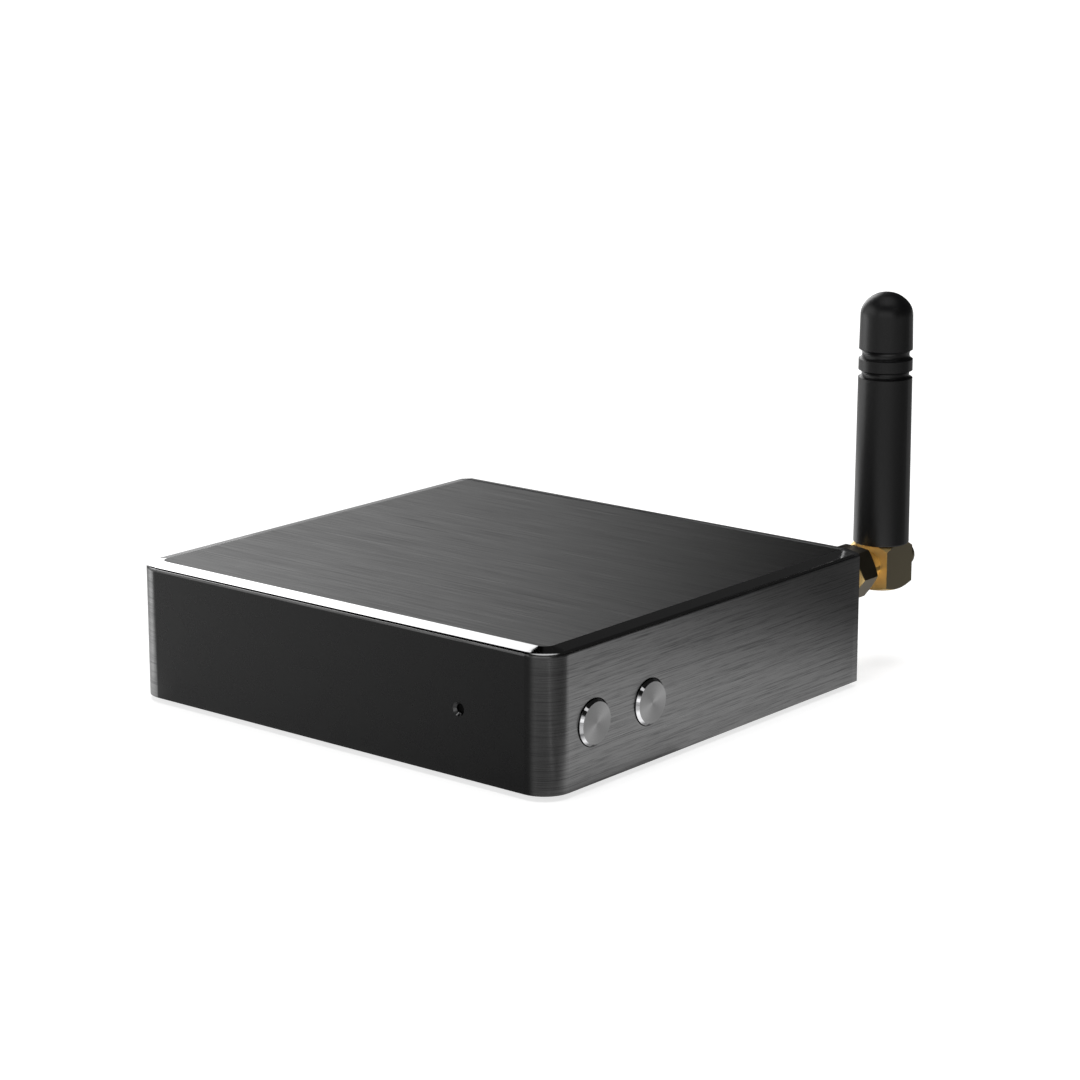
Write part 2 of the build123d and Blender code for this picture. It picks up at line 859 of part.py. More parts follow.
with BuildPart() as contact_pin:
    with BuildSketch(along_connector(nose_y - pin_reach)):
        Circle(pin_radius)
    extrude(amount=pin_reach + aerial_y - nose_y + radiator_radius)
save(contact_pin.part, "contact_pin")

with BuildPart() as pin_insulator:
    with BuildSketch(along_connector(nose_y)):
        Circle(core_radius - slip_fit)
        Circle(pin_radius + slip_fit, mode=Mode.SUBTRACT)
    extrude(amount=block_y - nose_y)
save(pin_insulator.part, "pin_insulator")

cap_y = aerial_y + block_side / 2
with BuildPart() as elbow_cap:
    with BuildSketch(along_connector(cap_y)):
        Circle(cap_radius)
    extrude(amount=cap_proud)
    fillet(elbow_cap.edges().sort_by(Axis.Y)[-1], cap_round)
    with BuildSketch(along_connector(cap_y)):
        Circle(core_radius)
    extrude(amount=-cap_plug_depth)
save(elbow_cap.part, "elbow_cap")

with BuildPart() as radiator:
    with BuildSketch(Plane.XY.offset(aerial_z + pin_radius)):
        with Locations((aerial_x, aerial_y)):
            Circle(radiator_radius)
    extrude(amount=radiator_length)
save(radiator.part, "radiator")


upper_groove_height = sleeve_length - upper_groove_tip_gap
lower_groove_height = upper_groove_height - groove_pitch


def sleeve_radius(height):
    """Outer radius of the tapering rubber sleeve at a height above the block."""
    if height > upper_groove_height:
        share = (height - upper_groove_height) / (sleeve_length - dome_height - upper_groove_height)
        return sleeve_neck_radius + (sleeve_tip_radius - sleeve_neck_radius) * share
    return sleeve_foot_radius + (sleeve_neck_radius - sleeve_foot_radius) * height / upper_groove_height


def groove_points(height, width):
    """Lower end, deepest point and upper end of a round groove in the sleeve's side."""
    low, high = height - width / 2, height + width / 2
    deepest = sleeve_radius(height) - groove_depth
    return (sleeve_radius(low), low), (deepest, height), (sleeve_radius(high), high)


# Rubber sleeve: a tapering turned form with two round grooves and a domed tip, pushed over the spigot
lower_groove = groove_points(lower_groove_height, lower_groove_width)
upper_groove = groove_points(upper_groove_height, upper_groove_width)
shoulder = sleeve_length - dome_height
with BuildPart() as aerial_sleeve:
    with BuildSketch(Plane.XZ):
        with BuildLine():
            Line((0, 0), (sleeve_foot_radius, 0))
            Line((sleeve_foot_radius, 0), lower_groove[0])
            ThreePointArc(*lower_groove)
            Line(lower_groove[2], upper_groove[0])
            ThreePointArc(*upper_groove)
            Line(upper_groove[2], (sleeve_tip_radius, shoulder))
            Spline(
                (sleeve_tip_radius, shoulder),
                (sleeve_tip_radius * sqrt(1 / 2), shoulder + dome_height * sqrt(1 / 2)),
                (0, sleeve_length),
                tangents=((0, 1), (-1, 0)),
            )
            Line((0, sleeve_length), (0, 0))
        make_face()
    revolve(axis=Axis.Z)
    fillet(aerial_sleeve.edges().sort_by(Axis.Z)[0], sleeve_foot_round)
    with BuildSketch(Plane.XY):
        Circle(spigot_radius + slip_fit)
    extrude(amount=spigot_height + slip_fit, mode=Mode.SUBTRACT)
    with BuildSketch(Plane.XY):
        Circle(radiator_radius + radiator_gap)
    extrude(amount=radiator_length, mode=Mode.SUBTRACT)
save(Pos(aerial_x, aerial_y, block_top) * aerial_sleeve.part, "aerial_sleeve")


def button(y):
    """Round metal button: bevelled head through the wall, flange behind it and a stem to the switch."""
    flange_x = side_inner_x - slip_fit
    with BuildPart() as body:
        with BuildSketch(facing_right(flange_x)):
            with Locations((y, button_z)):
                Circle(button_flange_radius)
        extrude(amount=-button_flange_thickness)
        with BuildSketch(facing_right(flange_x)):
            with Locations((y, button_z)):
                Circle(button_radius)
        extrude(amount=side_x + button_proud - flange_x)
        chamfer(body.edges().sort_by(Axis.X)[-1], button_rim)
        with BuildSketch(facing_right(flange_x - button_flange_thickness)):
            with Locations((y, button_z)):
                Circle(button_stem_radius)
        extrude(amount=-button_stem_length)
    return body.part


stem_end_x = side_inner_x - slip_fit - button_flange_thickness - button_stem_length
switch_face_x = stem_end_x - plunger_reach


def switch(y):
    """Upright switch on the board's edge with a blind hole for its plunger."""
    with BuildPart() as body:
        with BuildSketch(facing_right(switch_face_x)):
            with Locations((y, (board_top + button_z + switch_head_room) / 2)):
                Rectangle(switch_width, button_z + switch_head_room - board_top)
        extrude(amount=-switch_depth)
        with BuildSketch(facing_right(switch_face_x)):
            with Locations((y, button_z)):
                Circle(plunger_radius + slip_fit)
        extrude(amount=-(plunger_length - plunger_reach + button_travel + loose_fit), mode=Mode.SUBTRACT)
    return body.part


def plunger(y):
    """Round plunger of a switch, which rests against the button's stem."""
    with BuildPart() as body:
        with BuildSketch(facing_right(stem_end_x)):
            with Locations((y, button_z)):
                Circle(plunger_radius)
        extrude(amount=-plunger_length)
    return body.part


for name, y in button_places.items():
    save(button(y), f"{name}_button")
    save(switch(y), f"{name}_switch")
    save(plunger(y), f"{name}_plunger")

# Light pipe: a pin in the front hole, a bar behind it with a mirror corner, and a leg over the lamp
pipe_start_y = front_inner_y + pipe_collar_gap
with BuildPart() as light_pipe:
    with BuildSketch(facing_right(pipe_hole_x - pipe_section / 2)):
        with BuildLine():
            Polyline(
                (pipe_start_y, pipe_z - pipe_section / 2),
                (pipe_start_y, pipe_z + pipe_section / 2),
                (pipe_back_y - pipe_section, pipe_z + pipe_section / 2),
                (pipe_back_y, pipe_z - pipe_section / 2),
                (pipe_back_y, board_top),
                (pipe_back_y - pipe_section, board_top),
                (pipe_back_y - pipe_section, pipe_z - pipe_section / 2),
                close=True,
            )
        make_face()
    extrude(amount=pipe_section)
    with BuildSketch(facing_front(pipe_start_y)):
        with Locations((pipe_hole_x, pipe_z)):
            Circle(pipe_hole_radius - slip_fit)
    extrude(amount=pipe_start_y - front_y - pipe_recess)
    with BuildSketch(Plane.XY.offset(board_top)):
        with Locations((pipe_hole_x, led_y)):
            Rectangle(led_length + 2 * loose_fit, led_width + 2 * loose_fit)
    extrude(amount=led_height + loose_fit, mode=Mode.SUBTRACT)
save(light_pipe.part, "light_pipe")

with BuildPart() as status_lamp:
    with BuildSketch(Plane.XY.offset(board_top)):
        with Locations((pipe_hole_x, led_y)):
            Rectangle(led_length, led_width)
    extrude(amount=led_height)
save(status_lamp.part, "status_lamp")

# Radio module: a small board soldered flat to the main board, its screening can and the lead's plug
module_top = board_top + module_thickness
save(chip(module_width, module_depth, module_thickness, module_x, module_y), "radio_board")

with BuildPart() as screening_can:
    with BuildSketch(Plane.XY.offset(module_top)):
        with Locations((module_x + can_x_offset, module_y)):
            Rectangle(can_width, can_depth)
    extrude(amount=can_height)
    with BuildSketch(Plane.XY.offset(module_top)):
        with Locations((module_x + can_x_offset, module_y)):
            Rectangle(can_width - 2 * can_wall, can_depth - 2 * can_wall)
    extrude(amount=can_height - can_wall, mode=Mode.SUBTRACT)
save(screening_can.part, "screening_can")

plug_x = module_x + plug_x_offset
lead_z = module_top + plug_height / 2
with BuildPart() as lead_plug:
    with BuildSketch(Plane.XY.offset(module_top)):
        with Locations((plug_x, module_y)):
            Circle(plug_radius)
    extrude(amount=plug_height)
save(lead_plug.part, "lead_plug")

# Aerial lead: leaves the jack's tail to the front, drops beside the post and meets the plug from the rear
tail_y = panel_y - jack_flange_thickness - jack_tail_length
lead_end_y = module_y + plug_radius
lead_points = [
    (aerial_x, tail_y, aerial_z),
    (aerial_x, tail_y - 2 * lead_bend, aerial_z),
    (plug_x, tail_y - 3 * lead_bend, lead_z),
    (plug_x, lead_end_y, lead_z),
]
with BuildPart() as aerial_lead:
    with BuildLine() as lead_path:
        FilletPolyline(*lead_points, radius=lead_bend)
    with BuildSketch(Plane(origin=lead_points[0], z_dir=(0, -1, 0))):
        Circle(lead_radius)
    sweep(path=lead_path.line)
save(aerial_lead.part, "aerial_lead")

# Parts soldered to the main board
save(chip(processor_size, processor_size, processor_height, processor_x, processor_y), "processor")
save(chip(converter_size, converter_size, converter_height, module_x, converter_y), "audio_converter")
save(chip(memory_width, memory_depth, memory_height, processor_x, memory_y), "memory_chip")
transformer = chip(transformer_width, transformer_depth, transformer_height, network_x, transformer_y)
save(transformer, "network_transformer")


def power_coil(number):
    """Moulded power coil with rounded upright corners."""
    with BuildPart() as body:
        with BuildSketch(Plane.XY.offset(board_top)):
            with Locations((coil_x, panel_y - coil_rear_inset - number * coil_pitch)):
                RectangleRounded(coil_size, coil_size, coil_corner)
        extrude(amount=coil_height)
    return body.part


save(Compound(children=[power_coil(number) for number in range(2)]), "power_coils")


def can_capacitor(number):
    """Upright can capacitor with a rounded top edge."""
    with BuildPart() as body:
        with BuildSketch(Plane.XY.offset(board_top)):
            with Locations((can_cap_x - number * can_cap_pitch, can_cap_y)):
                Circle(can_cap_radius)
        extrude(amount=can_cap_height)
        fillet(body.edges().sort_by(Axis.Z)[-1], can_cap_round)
    return body.part


save(Compound(children=[can_capacitor(number) for number in range(can_cap_count)]), "capacitors")

with BuildPart() as clock_crystal:
    with BuildSketch(Plane.XY.offset(board_top)):
        with Locations((processor_x, crystal_y)):
            SlotOverall(crystal_width, crystal_depth)
    extrude(amount=crystal_height)
save(clock_crystal.part, "clock_crystal")
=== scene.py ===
"""Looks of the network music streamer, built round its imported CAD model.

Lengths are metres in the CAD frame: X across the front, Y to the rear, Z up, the feet on z = 0.
"""

import math

import bpy
import numpy as np
from mathutils import Matrix, Vector


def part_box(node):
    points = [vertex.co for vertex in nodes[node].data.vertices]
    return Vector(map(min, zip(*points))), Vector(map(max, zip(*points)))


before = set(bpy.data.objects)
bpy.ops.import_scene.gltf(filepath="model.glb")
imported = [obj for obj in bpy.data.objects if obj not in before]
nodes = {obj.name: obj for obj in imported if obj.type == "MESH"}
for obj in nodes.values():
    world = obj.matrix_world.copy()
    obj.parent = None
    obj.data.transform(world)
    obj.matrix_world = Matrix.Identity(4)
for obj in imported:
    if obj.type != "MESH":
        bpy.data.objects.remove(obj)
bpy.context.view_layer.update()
MM = 0.001

# Places read from the CAD pieces that the finishes and the camera follow.
shell_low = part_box("housing_shell")[0]
rear_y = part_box("rear_panel")[1].y
middle = Vector((0.0, (shell_low.y + rear_y) / 2, shell_low.z))
power_low, power_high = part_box("power_button")
pairing_low, pairing_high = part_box("pairing_button")
button_z = (power_low.z + power_high.z) / 2
power_y = (power_low.y + power_high.y) / 2
pairing_y = (pairing_low.y + pairing_high.y) / 2
nut_low, nut_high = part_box("coupling_nut")
nut_axis = tuple((nut_low + nut_high) / 2)
NUT_INSIDE_RADIUS = 4.2 * MM
CAP_PLUG_DEPTH = 1.5 * MM
cap_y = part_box("elbow_cap")[0].y + CAP_PLUG_DEPTH


# Finishes

def grey(level):
    """A colour without a hue."""
    return (level, level, level)


class Nodes:
    """The node tree of a material or the world, with a short call for each kind of node."""

    def __init__(self, tree):
        self.tree = tree
        place = self.add("ShaderNodeTexCoord")
        self.object = place.outputs["Object"]
        self.normal = place.outputs["Normal"]
        self.direction = place.outputs["Generated"]

    def add(self, kind, *given, **settings):
        """A new node with its settings, and its inputs fed in order with what is given."""
        node = self.tree.nodes.new(kind)
        for key, value in settings.items():
            setattr(node, key, value)
        for socket, value in zip(node.inputs, given):
            self.feed(socket, value)
        return node

    def feed(self, socket, value):
        """Links an output to a socket, or sets a number, a direction or a colour on it."""
        if isinstance(value, bpy.types.NodeSocket):
            self.tree.links.new(value, socket)
        elif socket.type == "RGBA":
            socket.default_value = (*value, 1.0)
        else:
            socket.default_value = value

    def math(self, operation, *given):
        return self.add("ShaderNodeMath", *given, operation=operation).outputs[0]

    def product(self, *factors):
        """All the factors multiplied."""
        result = factors[0]
        for factor in factors[1:]:
            result = self.math("MULTIPLY", result, factor)
        return result

    def vector(self, operation, *given):
        node = self.add("ShaderNodeVectorMath", *given, operation=operation)
        return node.outputs["Value" if operation == "LENGTH" else "Vector"]

    def parts(self, vector):
        """A vector's X, Y and Z."""
        return self.add("ShaderNodeSeparateXYZ", vector).outputs

    def step(self, value, low, high, start=0.0, end=1.0, change="SMOOTHSTEP"):
        """A smooth change from start to end while value goes from low to high."""
        node = self.add("ShaderNodeMapRange", value, low, high, start, end, interpolation_type=change)
        return node.outputs["Result"]

    def ramp(self, value, low, high, start=0.0, end=1.0):
        """The same change at a steady rate."""
        return self.step(value, low, high, start, end, "LINEAR")

    def band(self, value, low, high, soft):
        """1 where value lies between low and high, with soft sides."""
        rise = self.step(value, low - soft, low + soft)
        fall = self.step(value, high - soft, high + soft, 1.0, 0.0)
        return self.product(rise, fall)

    def mix(self, sort, factor, first, second):
        """first where factor is 0 and second where it is 1. The node has two inputs and an output
        for each sort of value, in this order."""
        place = ("FLOAT", "VECTOR", "RGBA").index(sort)
        node = self.add("ShaderNodeMix", factor, data_type=sort)
        self.feed(node.inputs[2 + 2 * place], first)
        self.feed(node.inputs[3 + 2 * place], second)
        return node.outputs[place]

    def blend(self, factor, first, second):
        """A mix of two numbers."""
        return self.mix("FLOAT", factor, first, second)

    def steer(self, factor, first, second):
        """A mix of two directions."""
        return self.mix("VECTOR", factor, first, second)

    def tint(self, factor, first, second):
        """A mix of two colours."""
        return self.mix("RGBA", factor, first, second)


class Finish(Nodes):
    """A material with one Principled shader."""

    def __init__(self, name):
        self.material = bpy.data.materials.new(name)
        self.material.use_nodes = True
        super().__init__(self.material.node_tree)
        self.shader = self.tree.nodes["Principled BSDF"]

    def set(self, **values):
        """Constants and links of the shader, named with underscores for spaces."""
        for key, value in values.items():
            self.feed(self.shader.inputs[key.replace("_", " ")], value)

    def stretched(self, scale):
        """The object's coordinates times a scale for each axis."""
        return self.vector("MULTIPLY", self.object, scale)

    def noise(self, place, size=1.0, detail=2.0, rough=0.5):
        """Cloudy noise from 0 to 1, with about size grains to the metre."""
        node = self.add("ShaderNodeTexNoise")
        self.feed(node.inputs["Vector"], place)
        self.feed(node.inputs["Scale"], size)
        self.feed(node.inputs["Detail"], detail)
        self.feed(node.inputs["Roughness"], rough)
        return node.outputs["Fac"]

    def relief(self, height, depth):
        """The finished material, with a bump of the given depth in metres from a 0 to 1 height."""
        node = self.add("ShaderNodeBump")
        self.feed(node.inputs["Strength"], 1.0)
        self.feed(node.inputs["Height"], height)
        self.feed(node.inputs["Distance"], depth)
        self.feed(self.shader.inputs["Normal"], node.outputs["Normal"])
        return self.material


def brushed_black(f, top):
    """Colour, roughness and height of brushed black anodising. Streaks are noise drawn out along the
    strokes: across the top where top is 1, and along the sides where it is 0. Short fine streaks lie
    over long ones."""
    top_streak = f.noise(f.stretched((55, 6500, 900)), detail=3, rough=0.65)
    top_long = f.noise(f.stretched((30, 2600, 400)), detail=2)
    side_streak = f.noise(f.stretched((130, 130, 11000)), detail=3, rough=0.7)
    side_long = f.noise(f.stretched((50, 50, 4600)), detail=2)
    streak = f.blend(top, side_streak, top_streak)
    long_streak = f.blend(top, side_long, top_long)
    brush = f.blend(0.26, streak, long_streak)
    shade = f.step(brush, f.blend(top, 0.33, 0.30), f.blend(top, 0.55, 0.66))
    groove = f.tint(top, (0.080, 0.080, 0.081), (0.094, 0.094, 0.095))
    ridge = f.tint(top, grey(0.172), grey(0.194))
    rough = f.step(brush, 0.2, 0.8, 0.34, 0.26)
    height = f.step(brush, 0.25, 0.75)
    return f.tint(shade, groove, ridge), rough, height


def housing_finish():
    """Black anodised aluminium: top and sides brushed, bevel polished, front smooth.

    The zones follow the surface's own normal: straight up is the top, the slope just off it is
    the bevel, and what faces forward is the front. The smooth front ends where the left round
    starts, and goes over into brushing along the right round.
    """
    f = Finish("housing anodised")
    nx, ny, nz = f.parts(f.normal)
    top = f.step(nz, 0.990, 0.995)
    bevel = f.band(nz, 0.58, 0.9925, 0.0012)
    turn = f.blend(f.step(nx, 0.0, 0.05), -0.994, -0.90)
    front = f.product(f.step(ny, turn, -0.9995), f.step(nz, 0.55, 0.3))
    brushed, brushed_rough, height = brushed_black(f, top)
    cloud = f.noise(f.object, size=240, detail=4)
    smooth = f.tint(cloud, (0.0075, 0.0075, 0.0078), (0.0105, 0.0105, 0.0105))
    polished = f.tint(cloud, (0.88, 0.88, 0.89), (0.93, 0.93, 0.93))
    smooth_rough = f.blend(cloud, 0.24, 0.31)
    polished_rough = f.blend(cloud, 0.045, 0.07)
    metal = f.math("SUBTRACT", 1.0, front)
    across = f.steer(top, (0.0, 0.0, 1.0), (0.0, 1.0, 0.0))
    f.set(Base_Color=f.tint(bevel, f.tint(front, brushed, smooth), polished),
          Roughness=f.blend(bevel, f.blend(front, brushed_rough, smooth_rough), polished_rough),
          Metallic=metal, Tangent=across, Anisotropic=0.75, IOR=1.48, Specular_Tint=grey(0.50))
    not_bevel = f.math("SUBTRACT", 1.0, bevel)
    return f.relief(f.product(height, metal, not_bevel), 0.0015 * MM)


def spun_button_finish():
    """Aluminium button: a face turned on a lathe and a polished rim.

    The turning marks are noise on the distance from the nearer button's centre, so they are rings.
    """
    f = Finish("button spun aluminium")
    between = (power_y + pairing_y) / 2
    nearer = f.step(f.parts(f.object)["Y"], between - 0.1 * MM, between + 0.1 * MM)
    centre = f.steer(nearer, (0.0, power_y, button_z), (0.0, pairing_y, button_z))
    radial = f.vector("MULTIPLY", f.vector("SUBTRACT", f.object, centre), (0.0, 1.0, 1.0))
    marks_per_metre = 9000
    mark = f.math("MULTIPLY", f.vector("LENGTH", radial), marks_per_metre)
    rings = f.noise(f.add("ShaderNodeCombineXYZ", mark).outputs[0], detail=3, rough=0.6)
    face = f.step(f.parts(f.normal)["X"], 0.97, 0.99)
    f.set(Base_Color=f.tint(face, (0.72, 0.72, 0.73), f.tint(rings, grey(0.15), grey(0.25))),
          Roughness=f.blend(face, 0.07, f.blend(rings, 0.38, 0.30)), Metallic=1.0, Anisotropic=0.9,
          Tangent=f.vector("NORMALIZE", radial))
    return f.relief(f.product(rings, face), 0.003 * MM)


def satin_metal(name, dark, light, rough_low, rough_high, grain=3000.0, depth=0.002 * MM, metal=1.0):
    """Metal with a fine cast or blasted grain. The tone is the mean of noise at the grain's size and
    noise fourteen times coarser, which also sets the roughness. The grain alone is the bump."""
    f = Finish(name)
    grains = f.noise(f.object, size=grain, detail=3)
    wear = f.noise(f.object, size=grain / 14, detail=4)
    tone = f.product(f.math("ADD", grains, wear), 0.5)
    f.set(Base_Color=f.tint(tone, dark, light), Metallic=metal,
          Roughness=f.blend(wear, rough_low, rough_high))
    return f.relief(grains, depth)


def moulded(name, dark, light, rough_low, rough_high, gloss=0.5):
    """Moulded plastic: spark-eroded texture as noise, and a slow change of tone and roughness with
    noise thirty times coarser. gloss is how much the surface mirrors."""
    f = Finish(name)
    grain = 5200.0
    grains = f.noise(f.object, size=grain, detail=2)
    flow = f.noise(f.object, size=grain / 30, detail=3)
    f.set(Base_Color=f.tint(flow, dark, light), Roughness=f.blend(flow, rough_low, rough_high),
          Specular_IOR_Level=gloss)
    return f.relief(grains, 0.004 * MM)


def aerial_rubber():
    """Black satin rubber: fine moulded grain, faint flow lines along the height."""
    f = Finish("aerial rubber")
    grains = f.noise(f.object, size=6500, detail=3)
    flow = f.noise(f.stretched((300, 300, 40)), detail=3)
    f.set(Base_Color=f.tint(flow, (0.0035, 0.0035, 0.0038), (0.0055, 0.0055, 0.0058)),
          Roughness=f.blend(flow, 0.33, 0.40))
    return f.relief(grains, 0.004 * MM)


def gilded_brass():
    """Gilded brass: turned surfaces bright gold and satin. The nut's flats, the elbow's sides and its cap
    are made by milling and are smoother, and their much darker colour is painted shade.

    The flats lie between the nut's ends and outside its bore, where the normal has no part along Y.
    The elbow's sides are where the normal points along X behind the nut, and the cap is what lies
    behind the elbow's block.
    """
    f = Finish("gilded brass")
    y = f.parts(f.object)["Y"]
    nx, ny = f.parts(f.normal)[:2]
    along_nut = f.band(y, nut_low.y, nut_high.y, 0.02 * MM)
    arm = f.vector("MULTIPLY", f.vector("SUBTRACT", f.object, nut_axis), (1, 0, 1))
    soft = 0.1 * MM
    outside = f.step(f.vector("LENGTH", arm), NUT_INSIDE_RADIUS - soft, NUT_INSIDE_RADIUS + soft)
    level = f.step(f.math("ABSOLUTE", ny), 0.12, 0.05)
    flats = f.product(along_nut, outside, level)
    facing_side = f.step(f.math("ABSOLUTE", nx), 0.985, 0.996)
    sides = f.product(f.step(y, nut_high.y, nut_high.y + soft), facing_side)
    cap = f.step(y, cap_y - 0.02 * MM, cap_y + 0.02 * MM)
    milled_and_shaded = f.math("MAXIMUM", f.math("MAXIMUM", flats, sides), cap)
    cloud = f.noise(f.object, size=380, detail=4)
    turned = f.tint(cloud, (0.92, 0.66, 0.27), (0.97, 0.73, 0.34))
    # The flats', sides' and cap's dark colours are painted shade, not the gilding's own colour.
    flats_shade = f.tint(cloud, (0.22, 0.187, 0.130), (0.27, 0.229, 0.160))
    painted_shade = f.tint(f.math("MAXIMUM", sides, cap), flats_shade, (0.190, 0.163, 0.106))
    f.set(Base_Color=f.tint(milled_and_shaded, turned, painted_shade), Metallic=1.0,
          Roughness=f.blend(milled_and_shaded, f.blend(cloud, 0.46, 0.54), f.blend(cloud, 0.26, 0.34)))
    tool_lines = f.noise(f.stretched((9000, 700, 700)), detail=2)
    return f.relief(tool_lines, 0.0015 * MM)


def board_finish():
    """Circuit board: dark green lacquer over copper, woven glass under it, tracks as thin ridges."""
    f = Finish("board lacquer")
    weave = f.add("ShaderNodeTexBrick")
    f.feed(weave.inputs["Vector"], f.object)
    f.feed(weave.inputs["Scale"], 420.0)
    tracks = f.step(f.noise(f.stretched((260, 1400, 260)), detail=1), 0.52, 0.56)
    f.set(Base_Color=f.tint(tracks, (0.012, 0.05, 0.026), (0.022, 0.10, 0.045)),
          Roughness=f.blend(tracks, 0.34, 0.24), Coat_Weight=0.4, Coat_Roughness=0.15)
    return f.relief(f.math("ADD", tracks, f.product(weave.outputs["Fac"], 0.2)), 0.03 * MM)


def panel_finish():
    """Rear panel: black satin lacquer with a fine speckle, and outer edges brushed with the housing."""
    f = Finish("rear panel satin")
    edge = f.step(f.math("ABSOLUTE", f.parts(f.normal)["X"]), 0.7, 0.9)
    brushed, brushed_rough, height = brushed_black(f, 0.0)
    speckle = f.noise(f.object, size=4200, detail=2)
    cloud = f.noise(f.object, size=160, detail=4)
    satin = f.tint(cloud, (0.020, 0.020, 0.021), (0.032, 0.032, 0.032))
    f.set(Base_Color=f.tint(edge, satin, brushed), Metallic=f.blend(edge, 0.3, 1.0),
          Roughness=f.blend(edge, f.blend(speckle, 0.40, 0.52), brushed_rough),
          Tangent=(0.0, 0.0, 1.0), Anisotropic=0.75, Specular_Tint=grey(0.50))
    return f.relief(f.blend(edge, speckle, f.product(height, 0.2)), 0.008 * MM)


def lamp_lens():
    """Clear plastic of the status lamp, slightly wavy, that lets some light through."""
    f = Finish("lamp lens")
    wave = f.noise(f.object, size=700, detail=2)
    f.set(Base_Color=f.tint(wave, (0.80, 0.80, 0.74), (0.92, 0.92, 0.851)),
          Roughness=f.blend(wave, 0.08, 0.16), Transmission_Weight=0.3, IOR=1.49)
    return f.relief(wave, 0.006 * MM)


finishes = {
    "anodised_black": housing_finish(),
    "button_metal": spun_button_finish(),
    "panel_metal": panel_finish(),
    "base_metal": satin_metal("base lacquered steel", (0.018, 0.018, 0.019), grey(0.03), 0.42, 0.55,
                              grain=2600, depth=0.012 * MM, metal=0.25),
    "screw_steel": satin_metal("screw black steel", (0.05, 0.05, 0.052), grey(0.09), 0.26, 0.36),
    "foot_rubber": moulded("foot rubber", grey(0.010), grey(0.016), 0.62, 0.74),
    "aerial_rubber": aerial_rubber(),
    "connector_brass": gilded_brass(),
    "contact_metal": satin_metal("contact gilding", (0.72, 0.47, 0.16), (0.84, 0.58, 0.24), 0.18, 0.28),
    "socket_steel": satin_metal("socket plated steel", grey(0.50), (0.64, 0.64, 0.63), 0.24, 0.34),
    "socket_plastic": moulded("socket plastic", grey(0.012), grey(0.020), 0.36, 0.46),
    "insulator_plastic": moulded("insulator plastic", (0.60, 0.59, 0.55), (0.70, 0.69, 0.65), 0.36, 0.46),
    "board_laminate": board_finish(),
    "chip_plastic": moulded("chip epoxy", (0.014, 0.014, 0.015), grey(0.022), 0.46, 0.58),
    "can_metal": satin_metal("can tinned steel", grey(0.46), (0.60, 0.60, 0.59), 0.30, 0.42),
    "capacitor_metal": satin_metal("capacitor aluminium", grey(0.50), grey(0.62), 0.28, 0.38),
    "spring_steel": satin_metal("spring steel", (0.34, 0.33, 0.32), (0.46, 0.45, 0.44), 0.26, 0.36),
    "lead_plastic": moulded("lead jacket", grey(0.012), grey(0.020), 0.40, 0.50),
    "pipe_plastic": moulded("light pipe smoked acrylic", grey(0.003), grey(0.005), 0.46, 0.58, gloss=0.05),
    "lamp_plastic": lamp_lens(),
    "switch_plastic": moulded("switch nylon", (0.020, 0.020, 0.021), grey(0.030), 0.44, 0.54),
    "plunger_plastic": moulded("plunger nylon", (0.36, 0.36, 0.35), (0.44, 0.44, 0.43), 0.42, 0.52),
}
for piece in nodes.values():
    slot = piece.material_slots[0].material.name.split(".")[0]
    piece.material_slots[0].material = finishes[slot]


# Camera: the photograph's, found by fitting the housing's corners. The eye's place is given from
# the middle of the housing's underside.
AZIMUTH = math.radians(39.531)
ELEVATION = math.radians(13.961)
EYE_FROM_MIDDLE = Vector((0.372243, -0.439108, 0.171733))
LENS_MM = 105.53
SENSOR_MM = 36.0
right = Vector((math.cos(AZIMUTH), math.sin(AZIMUTH), 0.0))
back = Vector((math.sin(AZIMUTH) * math.cos(ELEVATION), -math.cos(AZIMUTH) * math.cos(ELEVATION),
               math.sin(ELEVATION)))
turned_to_view = Matrix((right, back.cross(right), back)).transposed().to_4x4()
eye = bpy.data.cameras.new("camera")
eye.lens = LENS_MM
eye.sensor_width = SENSOR_MM
eye.sensor_fit = "HORIZONTAL"
eye.clip_start = 0.01
eye.clip_end = 50.0
camera = bpy.data.objects.new("camera", eye)
bpy.context.scene.collection.objects.link(camera)
camera.matrix_world = Matrix.Translation(middle + EYE_FROM_MIDDLE) @ turned_to_view
bpy.context.scene.camera = camera


# Studio
WHITE = 1.0


